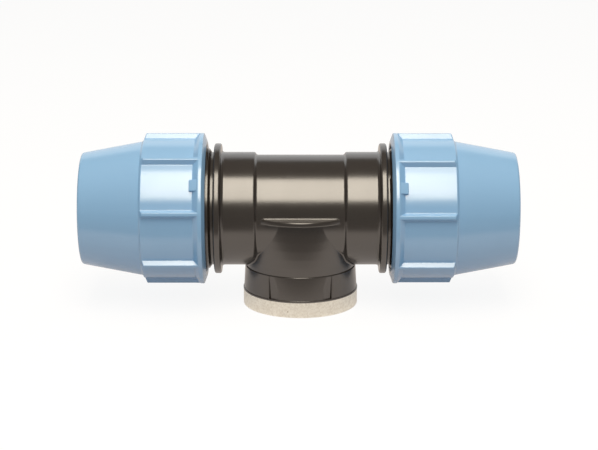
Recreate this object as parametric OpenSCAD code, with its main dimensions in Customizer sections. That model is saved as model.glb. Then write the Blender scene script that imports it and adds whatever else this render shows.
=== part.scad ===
// Compression tee for plastic pressure pipe, with a threaded branch.
// The run lies along X and the branch points down, so that the tee stands on the
// mouth of its branch. The origin is the centre of that mouth, on the table plane.

/* [Pipe and bores] */
// Outside diameter of the pipe that the run takes
pipe_d = 63; // [56:0.5:70]
// Clearance round the pipe in its sockets, on the radius
pipe_gap = 0.3; // [0.1:0.05:0.6]
// Height of the run's axis above the mouth of the branch
run_z = 68; // [64:0.5:80]
// Distance from the branch's axis to each pipe stop
stop_x = 36; // [33:0.5:44]
// Waterway through the middle of the tee
waterway_d = 52; // [40:0.5:56]
// Diameter of the branch's bore, the major diameter of its pipe thread
branch_bore_d = 59.62; // [56:0.02:62]
// Depth of the branch's threaded bore
branch_bore_depth = 24; // [16:0.5:26]

/* [Body run] */
// Wall of the middle tube over the pipe socket
tube_wall = 5.7; // [4:0.1:8]
// Step from the middle tube up to the two hubs
hub_step = 1.9; // [1:0.1:3]
// Length along the run of that step's soft S
hub_step_len = 3; // [2:0.1:5]
// Distance from the branch's axis to the middle of that step
hub_x = 31; // [29:0.5:34]
// Distance from the branch's axis to the near face of each flange
flange_x = 54.9; // [50:0.1:57]
// Thickness of each flange
flange_t = 4.8; // [3:0.1:6]
// Height of each flange above its hub
flange_h = 6; // [4:0.1:8]
// Rounding of the flanges' rims
flange_round = 1.3; // [0.4:0.1:1.5]
// Fillet between each flange and its hub
flange_fillet = 1.3; // [0.5:0.1:2]
// Length of the plain neck between each flange and its screwed sleeve
neck_len = 2; // [1:0.1:2.4]
// Length of the ramp from that neck up to the sleeve
neck_ramp = 1.5; // [0.5:0.1:3]
// Length of each screwed sleeve, from its neck to its end face
sleeve_len = 35.3; // [32:0.1:38]
// Wall of the screwed sleeve round the seal's chamber, to the root of the thread
sleeve_wall = 5; // [4:0.1:7]
// Chamfer at the end of the sleeve
sleeve_chamfer = 1; // [0.4:0.1:2]
// Depth of the seal's chamber in the end of the sleeve
chamber_depth = 18; // [14:0.5:24]

/* [Body branch] */
// Outside diameter of the screwed socket above the bead
socket_d = 79.3; // [76:0.1:84]
// Taper of the socket over its height, on the radius
socket_taper = 0.9; // [0.1:0.1:1.5]
// Height of the ledge where the socket meets the skirt
ledge_z = 28; // [25:0.5:32]
// Depth of that ledge
ledge_step = 0.45; // [0.2:0.05:1]
// How much the skirt flares out between the ledge and the run, on the radius
skirt_flare = 1.9; // [0.5:0.1:3]
// Projection of the bead over the reinforcing ring
bead_over = 0.15; // [0.1:0.05:0.5]
// Height of the bead
bead_h = 1; // [0.5:0.1:2.5]
// Radius of the flat rib that crowns the branch
rib_r = 46.4; // [44:0.1:50]
// Thickness of that rib
rib_t = 3.7; // [2:0.1:5]
// How far the rib's top lies above the run's axis
rib_up = 1.6; // [0.8:0.1:3]
// Rounding of the rib's rim
rib_round = 1.2; // [0.4:0.1:1.8]
// Fillet between the rib and the tube
rib_fillet = 0.8; // [0.5:0.1:2.5]
// Where each relief on the socket starts, from the branch's middle plane
relief_in = 15.7; // [12:0.1:18]
// Width of each relief, to its step
relief_w = 5.9; // [3:0.1:8]
// Depth of that step
relief_depth = 0.85; // [0.3:0.05:1.5]

/* [Reinforcing ring] */
// Height of the metal ring
ring_h = 10.8; // [8:0.1:14]
// Thickness of the metal ring
ring_t = 1.2; // [0.8:0.1:2]
// Outside diameter of the metal ring
ring_d = 80; // [78:0.1:84]
// Clearance between the ring and the body's spigot, on the radius
ring_fit = 0.05; // [0:0.01:0.2]
// Rounding of the ring's lower edge
ring_round = 0.5; // [0.2:0.1:0.8]

/* [Seals and bushes] */
// Thickness of the seal's section
seal_section = 4.9; // [4:0.1:6]
// Clearance between the seal and the pipe before the nut is tightened
seal_gap = 0.15; // [0.05:0.05:0.4]
// Clearance between the seal and its chamber
chamber_gap = 0.2; // [0.1:0.05:0.3]
// Clearance between the packing bush and the pipe, on the radius
bush_pipe_gap = 0.5; // [0.2:0.05:0.8]
// Clearance between the packing bush and the chamber's wall, on the radius
bush_gap = 0.3; // [0.1:0.05:0.5]
// Thickness of the bush's flange, which seats on the sleeve's end
bush_flange_t = 4.5; // [3:0.1:7]
// Projection of the bush's flange beyond the chamber, on the radius
bush_flange_h = 4.6; // [3:0.1:5.5]

/* [Grip rings] */
// Length of the split grip ring
grip_len = 34; // [24:0.5:36]
// Clearance of the grip ring at the bush and in the nut's cone
grip_gap = 0.3; // [0.2:0.05:0.5]
// Clearance between the ring's teeth and the pipe, on the radius
grip_pipe_gap = 0.25; // [0.1:0.05:0.5]
// Number of teeth in the ring's bore
grip_teeth = 7; // [3:1:10]
// Depth of those teeth
grip_tooth_h = 1.1; // [0.5:0.1:2]
// Width of the ring's slit
grip_slit = 8; // [4:0.5:14]
// Chamfer at the ring's two outer edges
grip_chamfer = 0.8; // [0.3:0.1:2]

/* [Nuts] */
// Distance from the right flange to the right nut
nut_gap = 2.9; // [2.5:0.1:4]
// How far the left nut is backed off compared with the right one
left_backed_off = 2.4; // [0:0.1:6]
// Height of the male thread, which the nut's bore clears
thread_h = 3; // [2:0.1:4]
// Clearance between the thread's crests and the nut's bore, on the radius
thread_gap = 0.3; // [0.1:0.05:0.5]
// Wall of the nut's grip section between its ribs
nut_wall = 3.7; // [2.5:0.1:5]
// Length of the nut's grip section, with its collar
grip_section = 43.6; // [40:0.1:48]
// Length of the nut's smooth cone
cone_len = 43.7; // [40:0.1:50]
// Step from the grip section down to the cone
cone_step = 2; // [0.8:0.1:2.5]
// Axial length of that step
cone_step_len = 1.3; // [0.3:0.1:2]
// Wall of the nut's cone, on the radius
cone_wall = 4.2; // [3:0.1:5.5]
// Clearance between the nut's mouth and the pipe, on the radius
mouth_gap = 0.7; // [0.4:0.05:1.2]
// Thickness of the nut at its mouth, on the radius
mouth_wall = 6.6; // [5:0.1:9]
// Length of the lip at the mouth
lip_len = 4; // [2:0.1:6]
// Rounding of the cone's outer edge
mouth_round = 1.8; // [0.5:0.1:2.5]
// Rounding of the mouth's inner edge
mouth_lead_in = 0.8; // [0.3:0.1:1.5]

/* [Nut collar] */
// Height of the collar above the panels
collar_h = 3.8; // [3:0.1:6]
// Height of the chamfer at the nut's inner end
collar_chamfer_h = 5.6; // [3:0.1:6]
// Length of that chamfer
collar_chamfer = 2; // [1:0.1:4]
// Length of the collar's land
collar_land = 2.6; // [2:0.1:5]
// Length of the bevel from the collar down to the panels
collar_bevel = 3.5; // [1:0.1:5]
// Recess in the nut's inner end that leads the thread in, on the radius
nut_lead_in = 0.6; // [0.3:0.1:1]

/* [Nut ribs] */
// Number of ribs round the nut
rib_count = 8; // [6:1:12]
// Height of each rib above the panels
grip_rib_h = 3.7; // [2:0.1:5]
// Width of each rib at its foot
grip_rib_foot = 5; // [4:0.1:9]
// Width of each rib at its top
grip_rib_top = 2.3; // [1.5:0.1:4]
// Length of the slope at each rib's far end
grip_rib_slope = 1.3; // [0.5:0.1:8]
// Angle of the first rib above the front, on the right nut
right_turn = 7.3; // [-22:0.1:22]
// Angle of the first rib above the front, on the left nut
left_turn = 9.7; // [-22:0.1:22]
// Length of the raised tab beside the collar
tab_len = 5.8; // [3:0.1:8]
// Width of that tab
tab_w = 7.6; // [5:0.1:10]
// Height of that tab above the panel
tab_h = 2.7; // [1:0.1:4]

/* [Hidden] */
$fn = 96;
arc_steps = 6;
cut = 1;
right = 1;
left = -1;

// Radii of the run, from the pipe outwards
pipe_r = pipe_d / 2;
socket_r = pipe_r + pipe_gap;
tube_r = socket_r + tube_wall;
hub_r = tube_r + hub_step;
hub_turn = 2 * atan(hub_step / hub_step_len);
hub_arc_r = hub_step_len / 2 / sin(hub_turn);
flange_r = hub_r + flange_h;
seal_in_r = pipe_r + seal_gap;
chamber_r = seal_in_r + seal_section + chamber_gap;
sleeve_r = chamber_r + sleeve_wall;
crest_r = sleeve_r + thread_h;
nut_bore_r = crest_r + thread_gap;
panel_r = nut_bore_r + nut_wall;
collar_r = panel_r + collar_h;
cone_r = panel_r - cone_step;
mouth_r = pipe_r + mouth_gap;
cone_end_r = mouth_r + mouth_wall;

// Places along the run, from the branch's axis outwards
flange_end_x = flange_x + flange_t;
sleeve_x = flange_end_x + neck_len;
body_end_x = sleeve_x + sleeve_len;
chamber_x = body_end_x - chamber_depth;
seal_x = chamber_x + chamber_gap + seal_section / 2;
bush_in_x = seal_x + seal_section / 2 + chamber_gap;
bush_out_x = body_end_x + bush_flange_t;
nut_x = flange_end_x + nut_gap;

// Places along a nut, from its inner end outwards
cone_start = grip_section + cone_step_len;
nut_len = grip_section + cone_len;
collar_end = collar_chamfer + collar_land;
panel_start = collar_end + collar_bevel;
cone_slope = (cone_r - cone_end_r) / (nut_len - cone_start);
cavity_start = bush_out_x - nut_x;

// Radii and heights of the branch
ring_in_r = ring_d / 2 - ring_t;
spigot_r = ring_in_r - ring_fit;
bead_r = ring_d / 2 + bead_over;
bead_top = ring_h + bead_h;
socket_low_r = socket_d / 2;
socket_top_r = socket_low_r - socket_taper;
skirt_low_r = socket_top_r - ledge_step;
rib_top = run_z + rib_up;
rib_low = rib_top - rib_t;

// Points of an arc round [r, z], from one angle to the other
function arc(centre, radius, from, to) = [
    for (i = [0:arc_steps])
        centre + radius * [cos(from + (to - from) * i / arc_steps), sin(from + (to - from) * i / arc_steps)]
];

// The same outline points on the far side of the middle plane, in reverse order
function mirrored(points) = [
    for (i = [len(points) - 1:-1:0]) [points[i][0], -points[i][1]]
];

// Radius of the nut's cavity at a distance from the nut's inner end
function cavity_r(along) = cone_r - cone_wall - cone_slope * (along - cone_start);

// Turns a shape that stands along Z so that it lies along the run, on one side
module along_run(side) {
    translate([0, 0, run_z])
        mirror([side == left ? 1 : 0, 0, 0])
            rotate([90, 0, 90]) children();
}

// Distance that a side's nut stands further out
function backed_off(side) = side == left ? left_backed_off : 0;

// Half of the run's outside, from the middle plane to the sleeve's end
function run_outline() = concat(
    arc([tube_r + hub_arc_r, hub_x - hub_step_len / 2], hub_arc_r, 180, 180 - hub_turn),
    arc([hub_r - hub_arc_r, hub_x + hub_step_len / 2], hub_arc_r, 360 - hub_turn, 360),
    arc([hub_r + flange_fillet, flange_x - flange_fillet], flange_fillet, 180, 90),
    arc([flange_r - flange_round, flange_x + flange_round], flange_round, 270, 360),
    arc([flange_r - flange_round, flange_end_x - flange_round], flange_round, 0, 90),
    [
        [hub_r, flange_end_x],
        [hub_r, sleeve_x],
        [sleeve_r, sleeve_x + neck_ramp],
        [sleeve_r, body_end_x - sleeve_chamfer],
        [sleeve_r - sleeve_chamfer, body_end_x]
    ]
);

module run_outside() {
    along_run(right)
        rotate_extrude()
            polygon(concat([[0, -body_end_x]], mirrored(run_outline()), run_outline(), [[0, body_end_x]]));
}

// Waterway, pipe sockets and seal chambers
module run_bores() {
    half = [
        [waterway_d / 2, stop_x],
        [socket_r, stop_x],
        [socket_r, chamber_x],
        [chamber_r, chamber_x],
        [chamber_r, body_end_x + cut]
    ];
    along_run(right)
        rotate_extrude()
            polygon(concat([[0, -body_end_x - cut]], mirrored(half), half, [[0, body_end_x + cut]]));
}

// Branch with its spigot, bead, tapered socket, ledge, flared skirt and crowning rib
module branch_outside() {
    bead_round = bead_h / 3;
    skirt = [
        for (i = [0:arc_steps])
            let (t = i / arc_steps)
                [skirt_low_r + skirt_flare * (1 - pow(1 - t, 2)),
                 ledge_z + ledge_step + (rib_low - ledge_z - ledge_step) * t]
    ];
    rotate_extrude()
        polygon(concat(
            [[0, 0], [spigot_r, 0], [spigot_r, ring_h]],
            [[bead_r, ring_h]],
            arc([bead_r - bead_round, bead_top - bead_round], bead_round, 0, 90),
            [[socket_low_r, bead_top], [socket_top_r, ledge_z]],
            skirt,
            arc([rib_r - rib_round, rib_low + rib_round], rib_round, 270, 360),
            arc([rib_r - rib_round, rib_top - rib_round], rib_round, 0, 90),
            [[0, rib_top]]
        ));
}

// Concave fillets between the rib's top and the tube, front and back
module rib_fillets() {
    for (face = [0, 1])
        mirror([0, face, 0])
            intersection() {
                translate([0, -tube_r, rib_top])
                    rotate([90, 0, 90])
                        linear_extrude(2 * rib_r, center = true)
                            difference() {
                                translate([-rib_fillet, -rib_fillet])
                                    square([2 * rib_fillet, 2 * rib_fillet]);
                                translate([-rib_fillet, rib_fillet]) circle(rib_fillet);
                            }
                cylinder(h = rib_top + 2 * rib_fillet, r = rib_r - rib_round);
            }
}

// Four shallow ramps in the socket, each ending in a step
module socket_reliefs() {
    relief_out = relief_in + relief_w;
    mean_r = (socket_low_r + socket_top_r) / 2;
    start_y = sqrt(pow(mean_r, 2) - pow(relief_in, 2));
    step_y = sqrt(pow(mean_r, 2) - pow(relief_out, 2)) - relief_depth;
    for (face = [0, 1])
        for (hand = [0, 1])
            mirror([hand, 0, 0])
                mirror([0, face, 0])
                    translate([0, 0, bead_top])
                        linear_extrude(ledge_z - bead_top)
                            polygon([
                                [relief_in, start_y],
                                [relief_out, step_y],
                                [relief_out, start_y + 2 * relief_depth],
                                [relief_in, start_y + 2 * relief_depth]
                            ]);
}

module branch_bores() {
    bore_r = branch_bore_d / 2;
    rotate_extrude()
        polygon([
            [0, -cut],
            [bore_r, -cut],
            [bore_r, branch_bore_depth],
            [waterway_d / 2, branch_bore_depth],
            [waterway_d / 2, run_z],
            [0, run_z]
        ]);
}

module body() {
    color("#2f2d2e")
        difference() {
            union() {
                run_outside();
                branch_outside();
                rib_fillets();
            }
            run_bores();
            branch_bores();
            socket_reliefs();
        }
}

// Metal band that keeps the screwed branch from splitting
module reinforcing_ring() {
    out_r = ring_d / 2;
    color("#cfcbc0")
        rotate_extrude()
            polygon(concat(
                [[ring_in_r, 0]],
                arc([out_r - ring_round, ring_round], ring_round, 270, 360),
                [[out_r, ring_h], [ring_in_r, ring_h]]
            ));
}

// Round rubber seal at the bottom of its chamber
module seal(side) {
    color("#1b1b1b")
        along_run(side)
            translate([0, 0, seal_x])
                rotate_extrude()
                    translate([seal_in_r + seal_section / 2, 0])
                        circle(seal_section / 2, $fn = 32);
}

// Bush that pushes the seal home, flanged to seat on the sleeve's end
module packing_bush(side) {
    in_r = pipe_r + bush_pipe_gap;
    nose_r = chamber_r - bush_gap;
    color("#3a3a3c")
        along_run(side)
            rotate_extrude()
                polygon([
                    [in_r, bush_in_x],
                    [nose_r, bush_in_x],
                    [nose_r, body_end_x],
                    [chamber_r + bush_flange_h, body_end_x],
                    [chamber_r + bush_flange_h, bush_out_x],
                    [in_r, bush_out_x]
                ]);
}

// Split ring with saw teeth in its bore and a cone that follows the nut's cavity.
// It stands against the bush, on both sides alike.
module grip_ring(side) {
    tip_r = pipe_r + grip_pipe_gap;
    root_r = tip_r + grip_tooth_h;
    start = cavity_start + grip_gap;
    end = start + grip_len;
    pitch = grip_len / grip_teeth;
    teeth = [
        for (i = [0:grip_teeth - 1])
            each [[root_r, end - i * pitch], [tip_r, end - (i + 1) * pitch]]
    ];
    wide_r = cavity_r(start) - grip_gap;
    slim_r = cavity_r(end) - grip_gap;
    color("#efeee8")
        along_run(side)
            translate([0, 0, nut_x])
                difference() {
                    rotate_extrude()
                        polygon(concat(
                            [
                                [wide_r - grip_chamfer, start],
                                [wide_r, start + grip_chamfer],
                                [slim_r, end - grip_chamfer],
                                [slim_r - grip_chamfer, end]
                            ],
                            teeth
                        ));
                    translate([-grip_slit / 2, 0, start - cut])
                        cube([grip_slit, 2 * wide_r, grip_len + 2 * cut]);
                }
}

// Outside of a nut: chamfered collar, panels and cone
module nut_outside() {
    cone_edge_r = cone_end_r + cone_slope * mouth_round;
    rotate_extrude()
        polygon(concat(
            [
                [0, 0],
                [collar_r - collar_chamfer_h, 0],
                [collar_r, collar_chamfer],
                [collar_r, collar_end],
                [panel_r, panel_start],
                [panel_r, grip_section],
                [cone_r, cone_start]
            ],
            arc([cone_edge_r - mouth_round, nut_len - mouth_round], mouth_round, 0, 90),
            [[0, nut_len]]
        ));
}

// Trapezoid ribs, sloped at their far end and cut to length by a turned envelope
module nut_ribs(turn) {
    top_r = panel_r + grip_rib_h;
    sunk_r = panel_r - nut_wall / 2;
    spread = (grip_rib_foot - grip_rib_top) / 2 / grip_rib_h;
    intersection() {
        rotate_extrude()
            polygon([
                [0, collar_chamfer],
                [top_r, collar_chamfer],
                [top_r, grip_section - grip_rib_slope],
                [panel_r - cone_step / 2, grip_section],
                [0, grip_section]
            ]);
        for (i = [0:rib_count - 1])
            rotate([0, 0, 180 - turn + i * 360 / rib_count])
                linear_extrude(grip_section)
                    polygon([
                        [sunk_r, grip_rib_foot / 2 + spread * (panel_r - sunk_r)],
                        [top_r + cut, grip_rib_top / 2 - spread * cut],
                        [top_r + cut, spread * cut - grip_rib_top / 2],
                        [sunk_r, -grip_rib_foot / 2 - spread * (panel_r - sunk_r)]
                    ]);
    }
}

// Plain raised tab between two ribs, at the foot of the collar's bevel
module nut_tab(turn) {
    rotate([0, 0, 180 - turn - 180 / rib_count])
        intersection() {
            translate([0, -tab_w / 2, collar_end]) cube([collar_r, tab_w, tab_len]);
            cylinder(h = panel_start + tab_len, r = panel_r + tab_h);
        }
}

// Inside of a nut: threaded bore, cone for the grip ring and mouth
module nut_inside() {
    step_r = cavity_r(cavity_start);
    lip = nut_len - lip_len;
    rotate_extrude()
        polygon([
            [0, -cut],
            [nut_bore_r + nut_lead_in + cut, -cut],
            [nut_bore_r, nut_lead_in],
            [nut_bore_r, cavity_start - (nut_bore_r - step_r)],
            [step_r, cavity_start],
            [cavity_r(lip), lip],
            [mouth_r, lip],
            [mouth_r, nut_len - mouth_lead_in],
            [mouth_r + mouth_lead_in + cut, nut_len + cut],
            [0, nut_len + cut]
        ]);
}

module nut(side, turn) {
    color("#86b4da")
        along_run(side)
            translate([0, 0, nut_x + backed_off(side)])
                difference() {
                    union() {
                        nut_outside();
                        nut_ribs(turn);
                        nut_tab(turn);
                    }
                    nut_inside();
                }
}

body();
reinforcing_ring();
seal(left);  // seal_left
seal(right);  // seal_right
packing_bush(left);  // packing_bush_left
packing_bush(right);  // packing_bush_right
grip_ring(left);  // grip_ring_left
grip_ring(right);  // grip_ring_right
nut(left, left_turn);  // nut_left
nut(right, right_turn);  // nut_right
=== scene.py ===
"""Compression pipe tee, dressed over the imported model, for Blender 4.5.

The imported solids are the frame. The body, the metal band and the parts inside keep
their solids and get their finishes here. The screw nuts are modelled again with
rounded edges, on the places of their solids. The screw threads and some fine moulded
details of the body are added.

Sizes are in millimetres, and mm() turns them to metres.
"""

import logging
import math
from collections.abc import Callable, Iterator, Mapping, Sequence
from contextlib import contextmanager
from dataclasses import dataclass, replace
from enum import Enum
from typing import Any

import bmesh
import bpy
from bpy.types import Material, Node, NodeSocket, NodeTree, Object
from mathutils import Matrix, Vector


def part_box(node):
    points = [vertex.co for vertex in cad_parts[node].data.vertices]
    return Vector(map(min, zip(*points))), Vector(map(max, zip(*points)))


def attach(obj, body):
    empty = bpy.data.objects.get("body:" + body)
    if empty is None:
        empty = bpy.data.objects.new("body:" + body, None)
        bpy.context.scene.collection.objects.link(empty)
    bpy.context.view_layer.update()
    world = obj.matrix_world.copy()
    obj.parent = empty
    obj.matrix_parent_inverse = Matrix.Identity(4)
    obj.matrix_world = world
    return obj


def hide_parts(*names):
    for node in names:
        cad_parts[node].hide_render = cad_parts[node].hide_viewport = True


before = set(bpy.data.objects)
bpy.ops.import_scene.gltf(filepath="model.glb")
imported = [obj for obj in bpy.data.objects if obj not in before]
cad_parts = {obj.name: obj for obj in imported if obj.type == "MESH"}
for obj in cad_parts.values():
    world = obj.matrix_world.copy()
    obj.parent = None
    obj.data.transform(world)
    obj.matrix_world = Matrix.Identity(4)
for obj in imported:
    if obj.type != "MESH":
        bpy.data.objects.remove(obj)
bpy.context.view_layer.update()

LOG = logging.getLogger("pipe_tee")
SHARP_ANGLE = 32.0  # degrees above which shading keeps an edge sharp
MERGE = 0.002  # millimetres within which vertices are merged
NEAR = 0.05  # millimetres within which a vertex counts as lying at a place
EDGE_SAMPLES = 6  # rays by which a material rounds the edges
RUN_HEIGHT = 68.0  # millimetres from the branch's mouth up to the run's axis
WHITE = "#ffffff"

Span = tuple[float, float]
Outline = Sequence[Span]
Inputs = Mapping[str, Any]


# Units, colours and nodes


def mm(value: float) -> float:
    """Turns millimetres into metres."""
    return value / 1000.0


def in_mm(value: float) -> float:
    """Turns metres into millimetres."""
    return value * 1000.0


def linear(code: str) -> tuple[float, float, float, float]:
    """Turns an sRGB hex colour into linear values.

    Args:
        code: Six hex digits after a hash.

    Returns:
        Red, green, blue and an alpha of 1.
    """
    parts = [int(code[i : i + 2], 16) / 255.0 for i in (1, 3, 5)]
    red, green, blue = (
        p / 12.92 if p <= 0.04045 else ((p + 0.055) / 1.055) ** 2.4 for p in parts
    )
    return red, green, blue, 1.0


def socket(sockets: Any, key: str) -> NodeSocket:
    """Finds a node's input or output by its identifier, or else by its name."""
    return next((s for s in sockets if s.identifier == key), None) or sockets[key]


def connect(tree: NodeTree, node: Node, inputs: Inputs) -> None:
    """Sets a node's inputs or links them.

    Args:
        tree: The node tree.
        node: The node.
        inputs: From input to a value, to a node whose first output is linked, or to
            an output.
    """
    for key, value in inputs.items():
        if isinstance(value, Node):
            value = value.outputs[0]
        target = socket(node.inputs, key)
        if isinstance(value, NodeSocket):
            tree.links.new(value, target)
        else:
            target.default_value = value


def add_node(tree: NodeTree, kind: str, inputs: Inputs | None = None, **settings: Any) -> Node:
    """Adds a node with its settings and links.

    Args:
        tree: The node tree.
        kind: Blender's name of the node type, after the word ShaderNode.
        inputs: As connect takes them.
        **settings: Properties of the node.

    Returns:
        The new node.
    """
    node = tree.nodes.new(f"ShaderNode{kind}")
    for name, value in settings.items():
        setattr(node, name, value)
    connect(tree, node, inputs or {})
    return node


def new_material(name: str) -> tuple[Material, NodeTree]:
    """Makes a material with nodes.

    Args:
        name: Name of the real material and finish.

    Returns:
        The material and its node tree.
    """
    material = bpy.data.materials.new(name)
    material.use_nodes = True
    return material, material.node_tree


# Finishes


@dataclass(frozen=True)
class MouldedPlastic:
    """Plastic from a polished steel mould: even colour, a soft gloss and faint flow marks.

    Attributes:
        name: Name of the real material and finish.
        colour: Body colour of the plastic.
        shade: Colour where the pigment lies a little thicker.
        roughness: Lowest and highest roughness, between clean and handled places.
        sheen: Specular level, 0.5 for a bare surface and more for a waxy skin.
        ior: Index of refraction of the plastic.
        cloud_mm: Size of the clouds in colour and gloss.
        cloud_range: Values of the clouds that give the lowest and highest roughness.
        grain_mm: Size of the finest texture, drawn a little coarser than the real one.
        grain_depth_mm: Depth of that texture.
        ripple_depth_mm: Depth of the broad ripples that the mould's polish leaves.
        edge_mm: Radius of the moulded edges.
    """

    name: str
    colour: str
    shade: str
    roughness: Span
    sheen: float = 0.5
    ior: float = 1.49
    cloud_mm: float = 22.0
    cloud_range: Span = (0.15, 0.85)
    grain_mm: float = 0.7
    grain_depth_mm: float = 0.006
    ripple_depth_mm: float = 0.02
    edge_mm: float = 0.35

    def make(self) -> Material:
        """Builds the material.

        Returns:
            The new material.
        """
        material, tree = new_material(self.name)
        place = add_node(tree, "TexCoord").outputs["Object"]
        clouds, grain = (
            add_node(tree, "TexNoise", {"Vector": place, "Scale": 1 / mm(size), "Detail": detail})
            for size, detail in ((self.cloud_mm, 3.0), (self.grain_mm, 2.0))
        )
        colours = {"A_Color": linear(self.colour), "B_Color": linear(self.shade)}
        blend = add_node(tree, "Mix", {"Factor_Float": clouds, **colours}, data_type="RGBA")
        least, most = self.cloud_range
        low, high = self.roughness
        span = {"From Min": least, "From Max": most, "To Min": low, "To Max": high}
        normal = add_node(tree, "Bevel", {"Radius": mm(self.edge_mm)}, samples=EDGE_SAMPLES)
        for height, depth in ((clouds, self.ripple_depth_mm), (grain, self.grain_depth_mm)):
            relief = {"Strength": 1.0, "Distance": mm(depth), "Height": height, "Normal": normal}
            normal = add_node(tree, "Bump", relief)
        surface = {
            "Base Color": socket(blend.outputs, "Result_Color"),
            "Roughness": add_node(tree, "MapRange", {"Value": clouds, **span}),
            "IOR": self.ior,
            "Specular IOR Level": self.sheen,
            "Normal": normal,
        }
        connect(tree, tree.nodes["Principled BSDF"], surface)
        return material


@dataclass(frozen=True)
class RolledSteel:
    """Stainless strip, rolled and cut: a dull pale metal with lines along the band.

    Attributes:
        name: Name of the real material and finish.
        colour: Reflectance of the clean metal.
        stain: Reflectance of the stains and scuffs.
        roughness: Lowest and highest roughness.
        line_mm: Distance between the rolling lines, drawn coarser than the real ones.
        line_depth_mm: Depth of those lines.
        line_range: Values of the lines that give the lowest and highest roughness.
        stretch: How many times longer than broad the lines' pattern is.
        mottle_mm: Size of the fine mottling in brightness.
        stain_range: Values of the mottling where stains begin and are strongest.
        stain_most: Largest share of the stains' colour in the mottling.
        speck_mm: Distance between the small dark marks.
        speck_range: Parts of that distance from a mark's middle where it fades and ends.
        edge_mm: Radius of the cut edges.
    """

    name: str
    colour: str
    stain: str
    roughness: Span
    line_mm: float = 0.5
    line_depth_mm: float = 0.01
    line_range: Span = (0.3, 0.7)
    stretch: float = 24.0
    mottle_mm: float = 1.6
    stain_range: Span = (0.4, 0.75)
    stain_most: float = 0.5
    speck_mm: float = 11.0
    speck_range: Span = (0.04, 0.07)
    edge_mm: float = 0.2

    def make(self) -> Material:
        """Builds the material.

        Returns:
            The new material.
        """
        material, tree = new_material(self.name)
        place = add_node(tree, "TexCoord").outputs["Object"]
        across = 1 / mm(self.line_mm)
        along = across / self.stretch
        stretched = add_node(tree, "Mapping", {"Vector": place, "Scale": (along, along, across)})
        lines = add_node(tree, "TexNoise", {"Vector": stretched, "Scale": 1.0, "Detail": 4.0})
        scale = 1 / mm(self.mottle_mm)
        mottle = {"Vector": place, "Scale": scale, "Detail": 6.0, "Roughness": 0.7}
        clouds = add_node(tree, "TexNoise", mottle)
        cells = {"Vector": place, "Scale": 1 / mm(self.speck_mm), "Randomness": 1.0}
        specks = add_node(tree, "TexVoronoi", cells).outputs["Distance"]
        ranges = (
            (specks, self.speck_range, (1.0, 0.0)),
            (clouds, self.stain_range, (0.0, self.stain_most)),
            (lines, self.line_range, self.roughness),
        )
        keys = ("From Min", "From Max", "To Min", "To Max")
        marked, stained, gloss = (
            add_node(tree, "MapRange", {"Value": value, **dict(zip(keys, source + target))})
            for value, source, target in ranges
        )
        amounts = {"Value": marked, "Value_001": stained}
        amount = add_node(tree, "Math", amounts, operation="MAXIMUM")
        colours = {"A_Color": linear(self.colour), "B_Color": linear(self.stain)}
        blend = add_node(tree, "Mix", {"Factor_Float": amount, **colours}, data_type="RGBA")
        rounded = add_node(tree, "Bevel", {"Radius": mm(self.edge_mm)}, samples=EDGE_SAMPLES)
        relief = {"Strength": 1.0, "Distance": mm(self.line_depth_mm)}
        surface = {
            "Metallic": 1.0,
            "Base Color": socket(blend.outputs, "Result_Color"),
            "Roughness": gloss,
            "Normal": add_node(tree, "Bump", {**relief, "Height": lines, "Normal": rounded}),
        }
        connect(tree, tree.nodes["Principled BSDF"], surface)
        return material


# Black polypropylene, moulded in a polished tool: nearly black, with a clear soft gloss.
BODY_PLASTIC = MouldedPlastic(
    "moulded_black_polypropylene",
    "#2f2a27",
    "#2b2623",
    (0.2, 0.27),
    sheen=1.0,
    ior=1.56,
    ripple_depth_mm=0.012,
    edge_mm=0.65,
)
# The same plastic on small details, whose edges are moulded sharper.
FINE_BODY_PLASTIC = replace(BODY_PLASTIC, name="moulded_black_polypropylene_fine", edge_mm=0.05)
# Light blue polypropylene, moulded with a duller skin: even colour and a broad sheen.
NUT_PLASTIC = MouldedPlastic(
    "moulded_light_blue_polypropylene",
    "#8db9e2",
    "#88b5df",
    (0.22, 0.26),
    sheen=1.0,
    ior=1.57,
    ripple_depth_mm=0.012,
)
# Black polypropylene of the bushes, duller than the body because their tool is plain milled.
BUSH_PLASTIC = MouldedPlastic(
    "moulded_black_bush_polypropylene", "#2c2c2e", "#252527", (0.4, 0.5), cloud_mm=12.0
)
# White acetal of the split grip rings: milky and waxy, with soft highlights.
GRIP_PLASTIC = MouldedPlastic(
    "moulded_white_acetal", "#efece2", "#e6e2d6", (0.3, 0.38), ior=1.48, cloud_mm=12.0
)
# Nitrile rubber of the seals: deep black and dull, with a fine bloom.
SEAL_RUBBER = MouldedPlastic(
    "moulded_nitrile_rubber",
    "#1c1c1c",
    "#242424",
    (0.5, 0.6),
    ior=1.52,
    cloud_mm=5.0,
    grain_mm=0.4,
)
# Rolled stainless strip of the band: pale, dull and a little warm, with scuffs.
BAND_STEEL = RolledSteel("rolled_stainless_strip", "#f2f3ec", "#b0a898", (0.32, 0.48))


# Modelling by hand


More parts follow.
